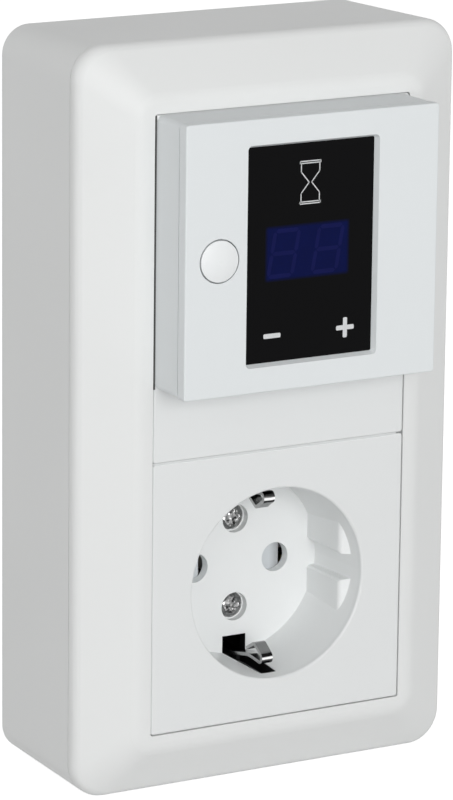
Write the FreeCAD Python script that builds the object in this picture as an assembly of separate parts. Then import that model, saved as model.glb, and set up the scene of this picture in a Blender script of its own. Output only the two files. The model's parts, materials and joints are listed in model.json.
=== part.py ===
import FreeCAD, Part
import math
import os

from FreeCAD import Vector

# Surface housing with an electronic timer switch above an earthed socket outlet.
# Everything is drawn lying on its back: X right, Y up, Z out of the wall, wall at Z = 0.
# save() stands each piece up, so that +Z is up and the front faces -Y.

# Housing
BACK_WIDTH = 84.4
BACK_HEIGHT = 152.1
BACK_CORNER = 6.0
FRONT_WIDTH = 87.0
FRONT_HEIGHT = 153.5
FRONT_CORNER = 7.0
EDGE_Z = 33.8
LIP_Z = 40.0
SPLIT_Z = 31.5
SPLIT_GAP = 0.15
BOX_WALL = 2.2
BOX_FLOOR = 2.2
OPENING_WIDTH = 58.4
OPENING_HEIGHT = 126.8
LIP_BAND = 3.0
LIP_CORNER = 4.0
LIP_SOFTENING = 5.0
EDGE_RADIUS = 2.5
PLATE_BACK_Z = 37.6
SKIRT_Z = 26.0
SKIRT_GAP = 0.2
SKIRT_WALL = 1.2
SNAP_LENGTH = 24.0
SNAP_Z = 27.6

# Fixings of the housing
WALL_SCREW_X = 30.0
WALL_SCREW_Y = 69.0
WALL_SCREW_RADIUS = 2.25
CABLE_RADIUS = 4.0
CABLE_Z = 15.0
GROMMET_COLLAR = 5.6
GROMMET_HALF = 10.0
GROMMET_LOW_Z = 5.0
GROMMET_TOP_Z = 25.8
GROMMET_GAP = 0.1
GROMMET_LEDGE = 2.0
PILLAR_X = 33.5
PILLAR_RADIUS = 3.6
PILLAR_Z = 29.8
PILOT_RADIUS = 1.5
STRAP_THICKNESS = 1.2
STRAP_TOP_Z = PILLAR_Z + STRAP_THICKNESS

# Inserts
SOCKET_Y = -35.2
TIMER_Y = 35.7
PLATE_WIDTH = 58.1
PLATE_CORNER = 0.6
PLATE_EDGE = 0.4
PLATE_GAP = 0.15
SEAM_Y = -7.0
SEAM_GAP = 0.24
PLATE_END_Y = OPENING_HEIGHT / 2 - PLATE_GAP

# Socket recess
RECESS_RADIUS = 19.9
RECESS_FLOOR_RADIUS = 19.2
RECESS_DEPTH = 17.5
RECESS_FLOOR_Z = LIP_Z - RECESS_DEPTH
CUP_RADIUS = 22.3
CUP_FLOOR = 2.2
CUP_BACK_Z = RECESS_FLOOR_Z - CUP_FLOOR
RIM_RADIUS = 0.5
GUIDE_X = 17.3
GUIDE_TOP_Z = 35.2
GUIDE_TOP_SLOPE = 0.43
GUIDE_EDGE_RADIUS = 1.2
GROOVE_MOUTH = 2.8
GROOVE_TAPER = 0.1
GROOVE_EDGE = 0.4
PIN_X = 9.5
PIN_HOLE_RADIUS = 3.1
FACE_SCREW_Y = 9.4
FACE_SCREW_HOLE = 3.0
CLIP_SLOT_HALF = 2.75
CLIP_SLOT_TOP_HALF = 1.86
CLIP_SLOT_INNER = 15.5
CLIP_SLOT_TOP_Z = 36.8

# Socket body, shutter and contacts
BODY_SIZE = 44.0
BODY_CORNER = 6.0
BODY_BACK_Z = 7.0
BODY_FLOOR = 2.0
BODY_WALL = 2.0
BODY_TOP_Z = CUP_BACK_Z
TOWER_INNER_X = 23.2
TOWER_OUTER_X = 26.6
SHUTTER_Z = 17.85
SHUTTER_THICKNESS = 2.2
SHUTTER_EDGE_X = 12.3
SHUTTER_WING = 6.3
SHUTTER_HALF = 5.3
SHUTTER_RAIL = 1.8
SHUTTER_RAMP = 0.6
SHUTTER_RAMP_DEPTH = 1.6
SHUTTER_PEG_X = -5.0
SHUTTER_PEG_HALF = 0.6
SHUTTER_SPRING_RADIUS = 0.85
SHUTTER_SPRING_TURNS = 8
CONTACT_GAP = 2.4
CONTACT_SHEET = 0.6
CONTACT_WIDTH = 5.0

# Earth clips: distance from the socket's centre line, and height over the wall
CLIP_PATH = [(18.4, 9.6), (18.8, 24.0), (17.35, 30.5), (18.2, 38.6), (14.4, 32.9), (16.2, 29.7)]
CLIP_BENDS = [8.0, 8.0, 0.9, 0.8]
CLIP_SHEET = 0.7
CLIP_WIDTH = 2.5
CLIP_BODY_SLOT = 1.9
CLIP_BODY_SLOT_INNER = 16.4
EARTH_BRIDGE_Z = 6.6

# Timer front
TIMER_WIDTH = 57.6
TIMER_HEIGHT = 54.8
BASE_TOP_Z = LIP_Z + 8.9
BASE_CORNER = 1.3
BASE_WALL = 1.8
BASE_FLOOR = 1.5
COVER_SEAM = 0.25
COVER_TOP_Z = LIP_Z + 11.8
COVER_CORNER = 0.6
COVER_FACE = 1.6
WINDOW_WIDTH = 28.9
WINDOW_HEIGHT = 43.4
WINDOW_CORNER = 0.4
WINDOW_SHEET = 1.2
WINDOW_RECESS = 1.25
WINDOW_BEVEL = 0.55
WINDOW_OVERLAP = 0.6
WINDOW_LEDGE = 1.6

# Push button
BUTTON_X = -21.2
BUTTON_RADIUS = 4.15
BUTTON_GAP = 0.3
BUTTON_DOME = 0.7
BUTTON_FLANGE = 5.0
STEM_RADIUS = 1.3
SWITCH_SIZE = 6.0
BUTTON_SPRING_RADIUS = 2.3
SPRING_WIRE = 0.3
COIL_STEPS = 12

# Timer electronics
BOARD_Z = 43.4
BOARD_THICKNESS = 1.4
BOARD_WIDTH = 52.0
BOARD_HEIGHT = 49.0
DISPLAY_WIDTH = 21.0
DISPLAY_HEIGHT = 12.4
DISPLAY_TOP_Z = 49.2
DISPLAY_RIM = 0.6
TOUCH_X = 8.4
TOUCH_Y = 19.5
TOUCH_RADIUS = 3.0
CASE_SIZE = 50.0
CASE_CORNER = 3.0
CASE_WALL = 1.6
CASE_BACK_Z = 10.0
CASE_FLANGE = 2.5
POWER_BOARD_Z = 26.0


def box(x0, x1, y0, y1, z0, z1):
    return Part.makeBox(x1 - x0, y1 - y0, z1 - z0, Vector(x0, y0, z0))


def rod(radius, x, y, z0, z1):
    return Part.makeCylinder(radius, z1 - z0, Vector(x, y, z0))


def rounded_outline(width, height, corner, z, centre_y=0.0):
    """Closed outline of a rectangle with arc corners, at height z."""
    half_x = width / 2 - corner
    half_y = height / 2 - corner
    edges = []
    ends = []
    for turn in range(4):
        side_x = 1 if turn in (0, 3) else -1
        side_y = 1 if turn in (0, 1) else -1
        centre = Vector(side_x * half_x, side_y * half_y + centre_y, z)
        start, middle, end = [
            centre + Vector(math.cos(angle), math.sin(angle), 0) * corner
            for angle in [math.radians(90 * turn + step) for step in (0, 45, 90)]
        ]
        edges.append(Part.Arc(start, middle, end).toShape())
        ends.append((start, end))
    sides = [Part.makeLine(ends[turn][1], ends[(turn + 1) % 4][0]) for turn in range(4)]
    return Part.Wire([edge for pair in zip(edges, sides) for edge in pair])


def rounded_block(width, height, corner, z0, z1, centre_y=0.0):
    outline = rounded_outline(width, height, corner, z0, centre_y)
    return Part.Face(outline).extrude(Vector(0, 0, z1 - z0))


def tapered_block(sections):
    """Solid through (width, height, corner, z) outlines, flat from one to the next."""
    return Part.makeLoft([rounded_outline(*section) for section in sections], True, True)


def prism_along_y(points, y0, y1):
    """Prism whose (x, z) corners are given."""
    corners = [Vector(x, y0, z) for x, z in points]
    return Part.Face(Part.makePolygon(corners + corners[:1])).extrude(Vector(0, y1 - y0, 0))


def edges_at_z(shape, z):
    """Edges that lie wholly at height z."""
    return [edge for edge in shape.Edges
            if abs(edge.BoundBox.ZMin - z) < 1e-6 and abs(edge.BoundBox.ZMax - z) < 1e-6]


def bent_path(points, radii):
    """Straight runs joined by tangent arcs; radii are those of the inner points."""
    edges = []
    start = points[0]
    for before, corner, after, radius in zip(points, points[1:], points[2:], radii):
        back = (before - corner).normalize()
        ahead = (after - corner).normalize()
        half = back.getAngle(ahead) / 2
        reach = radius / math.tan(half)
        middle_way = (back + ahead).normalize()
        enter = corner + back * reach
        leave = corner + ahead * reach
        middle = corner + middle_way * (radius / math.sin(half) - radius)
        edges.append(Part.makeLine(start, enter))
        edges.append(Part.Arc(enter, middle, leave).toShape())
        start = leave
    edges.append(Part.makeLine(start, points[-1]))
    return Part.Wire(edges)


def bent_strip(points, radii, sheet, x0, x1):
    """Sheet metal strip that follows points in the YZ plane, from x0 to x1 in width."""
    path = bent_path([Vector(x0, y, z) for y, z in points], radii)
    along = Vector(0, points[1][0] - points[0][0], points[1][1] - points[0][1]).normalize()
    across = along.cross(Vector(1, 0, 0)) * (sheet / 2)
    start = Vector(x0, *points[0])
    width = Vector(x1 - x0, 0, 0)
    corners = [start - across, start + across, start + across + width, start - across + width]
    section = Part.makePolygon(corners + corners[:1])
    return path.makePipeShell([section], True, False)


def coil(radius, wire, length, turns):
    """Spring along +Z from the origin, in short straight steps with a six-sided wire."""
    steps = turns * COIL_STEPS
    points = []
    for step in range(steps + 1):
        angle = math.radians(360 / COIL_STEPS * step)
        height = wire / 2 + (length - wire) * step / steps
        points.append(Vector(radius * math.cos(angle), radius * math.sin(angle), height))
    way = (points[1] - points[0]).normalize()
    outward = Vector(1, 0, 0)
    across = way.cross(outward).normalize()
    outward = across.cross(way).normalize()
    corners = []
    for corner in range(6):
        angle = math.radians(60 * corner)
        corners.append(points[0] + (outward * math.cos(angle) + across * math.sin(angle)) * (wire / 2))
    section = Part.makePolygon(corners + corners[:1])
    return Part.makePolygon(points).makePipeShell([section], True, False, 1)


def cross_recess_screw(x, y, head_z, head_radius, head_height, shank_radius, shank_z):
    """Pan head screw with a cross recess, its head's underside at head_z."""
    sphere_radius = (head_radius ** 2 + head_height ** 2) / (2 * head_height)
    centre_z = head_z + head_height - sphere_radius
    head = rod(head_radius, x, y, head_z, head_z + head_height)
    head = head.common(Part.makeSphere(sphere_radius, Vector(x, y, centre_z)))
    slot = head_radius * 0.2
    reach = head_radius * 0.62
    slot_z = head_z + head_height * 0.4
    top_z = head_z + head_height + 1
    cross = box(x - reach, x + reach, y - slot, y + slot, slot_z, top_z)
    cross = cross.fuse(box(x - slot, x + slot, y - reach, y + reach, slot_z, top_z))
    shank = rod(shank_radius, x, y, shank_z, head_z)
    return head.fuse(shank).cut(cross).removeSplitter()


def box_size_at(z):
    """Outer width, height and corner of the housing at height z under its front edge."""
    share = z / EDGE_Z
    width = BACK_WIDTH + (FRONT_WIDTH - BACK_WIDTH) * share
    height = BACK_HEIGHT + (FRONT_HEIGHT - BACK_HEIGHT) * share
    corner = BACK_CORNER + (FRONT_CORNER - BACK_CORNER) * share
    return width, height, corner


def snap_beads(reach, half_height):
    """Long beads at both sides that stand reach from the Z axis, for the cover's snap fit."""
    beads = []
    for side in (-1, 1):
        near_x, far_x = sorted((side * (reach - 1), side * reach))
        for y in (SOCKET_Y, TIMER_Y):
            beads.append(box(near_x, far_x, y + 6, y + 6 + SNAP_LENGTH,
                             SNAP_Z - half_height, SNAP_Z + half_height))
    return beads


def back_box():
    top_z = SPLIT_Z - SPLIT_GAP
    sections = []
    hollow_sections = []
    for outer_z, inner_z in ((0.0, BOX_FLOOR), (top_z, top_z + 1)):
        width, height, corner = box_size_at(outer_z)
        sections.append((width, height, corner, outer_z))
        inside = (width - 2 * BOX_WALL, height - 2 * BOX_WALL, corner - BOX_WALL, inner_z)
        hollow_sections.append(inside)
    shell = tapered_block(sections).cut(tapered_block(hollow_sections))
    for x in (-PILLAR_X, PILLAR_X):
        for y in (SOCKET_Y, TIMER_Y):
            pillar = rod(PILLAR_RADIUS, x, y, BOX_FLOOR - 0.5, PILLAR_Z)
            side = math.copysign(1, x)
            wall_x = side * (BACK_WIDTH / 2 - 1)
            web = box(min(x, wall_x), max(x, wall_x), y - 0.8, y + 0.8, BOX_FLOOR - 0.5, SKIRT_Z - 2)
            shell = shell.fuse(pillar).fuse(web)
            shell = shell.cut(rod(PILOT_RADIUS, x, y, PILLAR_Z - 14, PILLAR_Z + 1))
    for x in (-WALL_SCREW_X, WALL_SCREW_X):
        for y in (-WALL_SCREW_Y, WALL_SCREW_Y):
            boss = rod(WALL_SCREW_RADIUS + 2.0, x, y, BOX_FLOOR - 0.5, BOX_FLOOR + 1.2)
            shell = shell.fuse(boss).cut(rod(WALL_SCREW_RADIUS, x, y, -1, BOX_FLOOR + 3))
    notch = box(-GROMMET_HALF, GROMMET_HALF, -FRONT_HEIGHT / 2, -BACK_HEIGHT / 2 + BOX_WALL + 1,
                GROMMET_LOW_Z, SPLIT_Z)
    shell = shell.cut(notch)
    snap_reach = box_size_at(SNAP_Z)[0] / 2 - BOX_WALL + 0.5
    for groove in snap_beads(snap_reach, 0.8):
        shell = shell.cut(groove)
    return shell.removeSplitter()


def housing_cover():
    split = box_size_at(SPLIT_Z)
    lip_width = OPENING_WIDTH + 2 * LIP_BAND
    lip_height = OPENING_HEIGHT + 2 * LIP_BAND
    outer = tapered_block([
        (split[0], split[1], split[2], SPLIT_Z),
        (FRONT_WIDTH, FRONT_HEIGHT, FRONT_CORNER, EDGE_Z),
        (lip_width, lip_height, LIP_CORNER, LIP_Z),
    ])
    outer = outer.makeFillet(LIP_SOFTENING, edges_at_z(outer, LIP_Z))
    outer = outer.makeFillet(EDGE_RADIUS, edges_at_z(outer, EDGE_Z))
    skirt_width, skirt_height, skirt_corner = box_size_at(SKIRT_Z)
    inset = 2 * (BOX_WALL + SKIRT_GAP)
    skirt_width -= inset
    skirt_height -= inset
    skirt_corner -= inset / 2
    skirt = rounded_block(skirt_width, skirt_height, skirt_corner, SKIRT_Z, SPLIT_Z + 0.5)
    inner_width = skirt_width - 2 * SKIRT_WALL
    inner_height = skirt_height - 2 * SKIRT_WALL
    inner_corner = skirt_corner - SKIRT_WALL
    hollow = tapered_block([
        (inner_width, inner_height, inner_corner, SKIRT_Z - 1),
        (inner_width, inner_height, inner_corner, EDGE_Z - 0.8),
        (lip_width - 2.4, lip_height - 2.4, 2.0, PLATE_BACK_Z),
    ])
    opening = rounded_block(OPENING_WIDTH, OPENING_HEIGHT, 0.5, SKIRT_Z, LIP_Z + 1)
    cover = outer.fuse(skirt).cut(hollow).cut(opening)
    snap_reach = box_size_at(SNAP_Z)[0] / 2 - BOX_WALL + 0.3
    return cover.fuse(snap_beads(snap_reach, 0.5)).removeSplitter()


def cable_grommet():
    """Plug that slides from the front into the notch of the bottom wall."""
    outside_y = -BACK_HEIGHT / 2
    inside_y = outside_y + BOX_WALL + 0.05
    skirt_y = -box_size_at(SKIRT_Z)[1] / 2 + BOX_WALL + SKIRT_GAP
    half = GROMMET_HALF - GROMMET_GAP
    tongue = box(-half, half, outside_y, skirt_y - GROMMET_GAP,
                 GROMMET_LOW_Z + GROMMET_GAP, SPLIT_Z - SPLIT_GAP)
    filling = box(-half, half, outside_y, inside_y + 0.5, GROMMET_LOW_Z + GROMMET_GAP, GROMMET_TOP_Z)
    ledge = box(-half - GROMMET_LEDGE, half + GROMMET_LEDGE, inside_y, inside_y + 1.2,
                GROMMET_LOW_Z - 1.5, GROMMET_TOP_Z)
    collar_length = BOX_WALL + 2.8
    inward = Vector(0, 1, 0)
    mouth = Vector(0, outside_y, CABLE_Z)
    collar = Part.makeCylinder(GROMMET_COLLAR, collar_length, mouth, inward)
    bore = Part.makeCylinder(CABLE_RADIUS, collar_length + 2, mouth - inward, inward)
    return tongue.fuse([filling, ledge, collar]).cut(bore).removeSplitter()


def face_plate(y0, y1):
    plate = rounded_block(PLATE_WIDTH, y1 - y0, PLATE_CORNER, PLATE_BACK_Z, LIP_Z, (y0 + y1) / 2)
    return plate.makeFillet(PLATE_EDGE, edges_at_z(plate, LIP_Z))


def recess_tool():
    """The space a plug fills, with a flat guide and its groove at each side."""
    top_z = LIP_Z + 2.0
    taper = (RECESS_RADIUS - RECESS_FLOOR_RADIUS) / RECESS_DEPTH
    top_radius = RECESS_FLOOR_RADIUS + taper * (top_z - RECESS_FLOOR_Z)
    cone = Part.makeCone(RECESS_FLOOR_RADIUS, top_radius, top_z - RECESS_FLOOR_Z,
                         Vector(0, SOCKET_Y, RECESS_FLOOR_Z))
    for side in (-1, 1):
        cone = cone.cut(plug_guide(side).cut(guide_groove(side)))
    return cone


def plug_guide(side):
    """Block with a flat that faces the plug and a sloped front end with a soft edge."""
    low_z = RECESS_FLOOR_Z - 1
    outer_x = RECESS_RADIUS + 3
    front_z = GUIDE_TOP_Z + GUIDE_TOP_SLOPE * (outer_x - GUIDE_X)
    y0 = SOCKET_Y - RECESS_RADIUS
    flat_foot = Vector(side * GUIDE_X, y0, low_z)
    outer_foot = Vector(side * outer_x, y0, low_z)
    outer_front = Vector(side * outer_x, y0, front_z)
    profile = bent_path([flat_foot, Vector(side * GUIDE_X, y0, GUIDE_TOP_Z), outer_front], [GUIDE_EDGE_RADIUS])
    closing = [Part.makeLine(outer_front, outer_foot), Part.makeLine(outer_foot, flat_foot)]
    return Part.Face(Part.Wire(profile.Edges + closing)).extrude(Vector(0, 2 * RECESS_RADIUS, 0))


def guide_groove(side):
    """Groove through a guide's middle: narrower at its bottom, with bevelled mouth edges."""
    mouth_x = GUIDE_X + GROOVE_EDGE
    bottom_x = RECESS_RADIUS + 1
    bottom_half = GROOVE_MOUTH - GROOVE_TAPER * (bottom_x - mouth_x)
    half_outline = [(bottom_x, bottom_half), (mouth_x, GROOVE_MOUTH), (mouth_x - 2 * GROOVE_EDGE, GROOVE_MOUTH + 1)]
    outline = half_outline + [(x, -half) for x, half in reversed(half_outline)]
    corners = [Vector(side * x, SOCKET_Y + half, RECESS_FLOOR_Z - 1) for x, half in outline]
    return Part.Face(Part.makePolygon(corners + corners[:1])).extrude(Vector(0, 0, RECESS_DEPTH + 2))


def clip_slot(side):
    """Slot for an earth clip through the floor, and up the wall, where it narrows."""
    y_wall = SOCKET_Y + side * (RECESS_FLOOR_RADIUS - 0.9)
    y_out = SOCKET_Y + side * (CUP_RADIUS + 1)
    y_in = SOCKET_Y + side * CLIP_SLOT_INNER
    back_z = CUP_BACK_Z - 1
    floor_slot = box(-CLIP_SLOT_HALF, CLIP_SLOT_HALF, min(y_in, y_out), max(y_in, y_out),
                     back_z, RECESS_FLOOR_Z)
    half_outline = [(CLIP_SLOT_HALF, back_z), (CLIP_SLOT_HALF, RECESS_FLOOR_Z), (CLIP_SLOT_TOP_HALF, CLIP_SLOT_TOP_Z)]
    outline = half_outline + [(-half, z) for half, z in reversed(half_outline)]
    wall_slot = prism_along_y(outline, min(y_wall, y_out), max(y_wall, y_out))
    return floor_slot.fuse(wall_slot)


def socket_face_plate():
    plate = face_plate(-PLATE_END_Y, SEAM_Y - SEAM_GAP / 2)
    cup = rod(CUP_RADIUS, 0, SOCKET_Y, CUP_BACK_Z, PLATE_BACK_Z + 0.5)
    shape = plate.fuse(cup).cut(recess_tool())
    for side in (-1, 1):
        shape = shape.cut(rod(PIN_HOLE_RADIUS, side * PIN_X, SOCKET_Y, CUP_BACK_Z - 1, LIP_Z))
        screw_y = SOCKET_Y + side * FACE_SCREW_Y
        shape = shape.cut(rod(FACE_SCREW_HOLE, 0, screw_y, RECESS_FLOOR_Z - 1.7, LIP_Z))
        shape = shape.cut(rod(1.7, 0, screw_y, CUP_BACK_Z - 1, LIP_Z))
        shape = shape.cut(clip_slot(side))
    shape = shape.removeSplitter()
    rim = [edge for edge in edges_at_z(shape, LIP_Z)
           if edge.Curve.TypeId == "Part::GeomCircle" and abs(edge.Curve.Radius - RECESS_RADIUS) < 0.1]
    return shape.makeFillet(RIM_RADIUS, rim)


def socket_body():
    block = rounded_block(BODY_SIZE, BODY_SIZE, BODY_CORNER, BODY_BACK_Z, BODY_TOP_Z, SOCKET_Y)
    inside = BODY_SIZE - 2 * BODY_WALL
    cavity = rounded_block(inside, inside, BODY_CORNER - BODY_WALL,
                           BODY_BACK_Z + BODY_FLOOR, BODY_TOP_Z + 1, SOCKET_Y)
    block = block.cut(cavity)
    for side in (-1, 1):
        tower = box(min(side * (BODY_SIZE / 2 - 1), side * TOWER_OUTER_X),
                    max(side * (BODY_SIZE / 2 - 1), side * TOWER_OUTER_X),
                    SOCKET_Y - 8, SOCKET_Y + 8, BODY_BACK_Z, BODY_TOP_Z)
        arm = box(min(side * TOWER_INNER_X, side * TOWER_OUTER_X),
                  max(side * TOWER_INNER_X, side * TOWER_OUTER_X),
                  SOCKET_Y - 8, SOCKET_Y + 8, BODY_TOP_Z - 1, PILLAR_Z)
        peg_x = side * (TOWER_INNER_X + TOWER_OUTER_X) / 2
        pegs = [rod(1.1, peg_x, SOCKET_Y + y, PILLAR_Z - 1, STRAP_TOP_Z) for y in (-5, 5)]
        block = block.fuse(tower).fuse(arm).fuse(pegs)
        post = rod(3.0, 0, SOCKET_Y + side * FACE_SCREW_Y, BODY_BACK_Z + 1, CUP_BACK_Z)
        block = block.fuse(post)
        block = block.cut(rod(PILOT_RADIUS, 0, SOCKET_Y + side * FACE_SCREW_Y, 10, CUP_BACK_Z + 1))
        y_in = SOCKET_Y + side * CLIP_BODY_SLOT_INNER
        y_out = SOCKET_Y + side * (BODY_SIZE / 2 + 1)
        block = block.cut(box(-CLIP_BODY_SLOT, CLIP_BODY_SLOT, min(y_in, y_out), max(y_in, y_out),
                              BODY_BACK_Z - 1, BODY_TOP_Z + 1))
    peg = box(SHUTTER_PEG_X - SHUTTER_PEG_HALF, SHUTTER_PEG_X + SHUTTER_PEG_HALF,
              SOCKET_Y - 1.8, SOCKET_Y + 1.8,
              BODY_BACK_Z + 1, SHUTTER_Z + SHUTTER_THICKNESS)
    for side in (-1, 1):
        rail_y = SOCKET_Y + side * (SHUTTER_HALF - SHUTTER_RAIL / 2)
        rail = box(-17, 17, rail_y - 0.6, rail_y + 0.6, BODY_BACK_Z + 1, SHUTTER_Z - 0.1)
        well = box(side * PIN_X - 5.2, side * PIN_X + 5.2, SOCKET_Y - 3.2, SOCKET_Y + 3.2,
                   BODY_BACK_Z + 1, BODY_TOP_Z)
        block = block.fuse(rail.cut(well))
    return block.fuse(peg).removeSplitter()


def shutter():
    """Sliding plate with a wing over each pin hole, held closed by its spring."""
    left = SHUTTER_EDGE_X - 2 * PIN_X - SHUTTER_WING
    y0 = SOCKET_Y - SHUTTER_HALF
    y1 = SOCKET_Y + SHUTTER_HALF
    top_z = SHUTTER_Z + SHUTTER_THICKNESS
    plate = box(left, SHUTTER_EDGE_X, y0, y1, SHUTTER_Z, top_z)
    window_y0 = y0 + SHUTTER_RAIL
    window_y1 = y1 - SHUTTER_RAIL
    window = box(left + SHUTTER_WING, SHUTTER_EDGE_X - SHUTTER_WING, window_y0, window_y1,
                 SHUTTER_Z - 1, top_z + 1)
    plate = plate.cut(window)
    for edge_x in (SHUTTER_EDGE_X, left + SHUTTER_WING):
        ramp = [(edge_x - SHUTTER_RAMP, top_z), (edge_x, top_z), (edge_x, top_z - SHUTTER_RAMP_DEPTH)]
        plate = plate.cut(prism_along_y(ramp, window_y0, window_y1))
    return plate


def shutter_spring():
    start_x = SHUTTER_PEG_X + SHUTTER_PEG_HALF
    length = SHUTTER_EDGE_X - SHUTTER_WING - start_x
    spring = coil(SHUTTER_SPRING_RADIUS, SPRING_WIRE, length, SHUTTER_SPRING_TURNS)
    spring.rotate(Vector(0, 0, 0), Vector(0, 1, 0), 90)
    spring.translate(Vector(start_x, SOCKET_Y, SHUTTER_Z + SHUTTER_THICKNESS / 2))
    return spring


def pin_contact(side):
    """Folded strip with two springy leaves that grip a plug pin."""
    floor_z = BODY_BACK_Z + BODY_FLOOR + CONTACT_SHEET / 2
    top_z = SHUTTER_Z - 0.9
    gap = CONTACT_GAP
    outline = [(-gap - 0.7, top_z), (-gap + 0.4, top_z - 1.9), (-gap - 0.3, floor_z + 2.5), (-gap - 0.3, floor_z),
               (gap + 0.3, floor_z), (gap + 0.3, floor_z + 2.5), (gap - 0.4, top_z - 1.9), (gap + 0.7, top_z)]
    strip = bent_strip(outline, [0.8, 3.0, 0.6, 0.6, 3.0, 0.8], CONTACT_SHEET,
                       -CONTACT_WIDTH / 2, CONTACT_WIDTH / 2)
    tail = box(-CONTACT_WIDTH / 2, CONTACT_WIDTH / 2, gap, 7.6,
               floor_z - CONTACT_SHEET / 2, floor_z + CONTACT_SHEET / 2)
    shape = strip.fuse(tail)
    shape.rotate(Vector(0, 0, 0), Vector(0, 0, 1), -90 * side)
    shape.translate(Vector(side * PIN_X, SOCKET_Y, 0))
    return shape.removeSplitter()


def terminal_clamps():
    z0 = BODY_BACK_Z + BODY_FLOOR + CONTACT_SHEET
    clamps = []
    for side in (-1, 1):
        x_mid = side * 16.2
        clamp = box(x_mid - 2.6, x_mid + 2.6, SOCKET_Y - 3.6, SOCKET_Y + 3.6, z0, z0 + 5.6)
        clamp = clamp.cut(rod(1.6, x_mid, SOCKET_Y, z0 - 1, z0 + 7))
        wire_hole = Part.makeCylinder(1.2, 10, Vector(x_mid, SOCKET_Y - 5, z0 + 2.0), Vector(0, 1, 0))
        clamps.append(clamp.cut(wire_hole))
    return Part.makeCompound(clamps)


def terminal_screws():
    head_z = BODY_BACK_Z + BODY_FLOOR + CONTACT_SHEET + 5.62
    return Part.makeCompound([
        cross_recess_screw(side * 16.2, SOCKET_Y, head_z, 2.3, 1.4, 1.5, head_z - 2.4)
        for side in (-1, 1)
    ])


def earth_bridge():
    """Strip behind the socket body that joins the roots of both earth clips."""
    root = CLIP_PATH[0][0] + CLIP_SHEET / 2 + 0.12 + CLIP_SHEET / 2
    top_z = CLIP_PATH[0][1] + 0.5
    strip = bent_strip([(-root, top_z), (-root, EARTH_BRIDGE_Z), (root, EARTH_BRIDGE_Z), (root, top_z)],
                       [1.0, 1.0], CLIP_SHEET, -CLIP_WIDTH / 2, CLIP_WIDTH / 2)
    strip.translate(Vector(0, SOCKET_Y, 0))
    terminal = box(-4.5, 4.5, SOCKET_Y - 10, SOCKET_Y - 3, EARTH_BRIDGE_Z - 3.0, EARTH_BRIDGE_Z - 0.2)
    return strip.fuse(terminal).removeSplitter()


def earth_clip(side):
    strip = bent_strip(CLIP_PATH, CLIP_BENDS, CLIP_SHEET, -CLIP_WIDTH / 2, CLIP_WIDTH / 2)
    root = Part.makeCylinder(CLIP_SHEET / 2, CLIP_WIDTH, Vector(-CLIP_WIDTH / 2, *CLIP_PATH[0]), Vector(1, 0, 0))
    shape = strip.fuse(root).removeSplitter()
    if side < 0:
        shape = shape.mirror(Vector(0, 0, 0), Vector(0, 1, 0))
    shape.translate(Vector(0, SOCKET_Y, 0))
    return shape


def socket_face_screws():
    head_z = RECESS_FLOOR_Z - 1.68
    return Part.makeCompound([
        cross_recess_screw(0, SOCKET_Y + side * FACE_SCREW_Y, head_z, 2.75, 1.3, 1.4, 11.5)
        for side in (-1, 1)
    ])


def strap(centre_y, hole):
    """Stamped steel ring that hangs an insert on two pillars of the back box."""
    plate = rounded_block(75.0, 56.0, 4.0, PILLAR_Z + 0.02, STRAP_TOP_Z, centre_y).cut(hole)
    for side in (-1, 1):
        x = side * PILLAR_X
        slot = box(x - 1.75, x + 1.75, centre_y - 1.2, centre_y + 1.2, PILLAR_Z - 1, STRAP_TOP_Z + 1)
        for y in (centre_y - 1.2, centre_y + 1.2):
            slot = slot.fuse(rod(1.75, x, y, PILLAR_Z - 1, STRAP_TOP_Z + 1))
        plate = plate.cut(slot)
        bump = box(-20, 20, centre_y + side * 26.2 - 0.8, centre_y + side * 26.2 + 0.8,
                   STRAP_TOP_Z - 0.2, STRAP_TOP_Z + 1.0)
        plate = plate.fuse(bump)
    return plate


def socket_support_plate():
    hole = rod(TOWER_INNER_X - 0.3, 0, SOCKET_Y, 0, LIP_Z)
    plate = strap(SOCKET_Y, hole)
    for side in (-1, 1):
        for y in (-5, 5):
            peg_x = side * (TOWER_INNER_X + TOWER_OUTER_X) / 2
            plate = plate.cut(rod(1.15, peg_x, SOCKET_Y + y, 0, LIP_Z))
    return plate.removeSplitter()


def timer_support_plate():
    hole = rounded_block(CASE_SIZE + 0.6, CASE_SIZE + 0.6, CASE_CORNER, 0, LIP_Z, TIMER_Y)
    return strap(TIMER_Y, hole).removeSplitter()


def strap_screws():
    return Part.makeCompound([
        cross_recess_screw(x, y, STRAP_TOP_Z + 0.02, 2.9, 1.9, 1.4, PILLAR_Z - 10)
        for x in (-PILLAR_X, PILLAR_X)
        for y in (SOCKET_Y, TIMER_Y)
    ])


def timer_insert_plate():
    plate = face_plate(SEAM_Y + SEAM_GAP / 2, PLATE_END_Y)
    window = rounded_block(CASE_SIZE - 6, CASE_SIZE - 6, 2.0, PLATE_BACK_Z - 1, LIP_Z + 1, TIMER_Y)
    bars = box(-40, 40, TIMER_Y + 10, TIMER_Y + 16, PLATE_BACK_Z, LIP_Z)
    plate = plate.cut(window.cut(bars))
    for x, y in case_screw_places():
        plate = plate.fuse(rod(3.0, x, y, PLATE_BACK_Z, LIP_Z)).cut(rod(1.7, x, y, PLATE_BACK_Z - 1, LIP_Z + 1))
    return plate.removeSplitter()


def case_screw_places():
    return [(side * 20.0, TIMER_Y + side * 20.0) for side in (-1, 1)]


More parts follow.
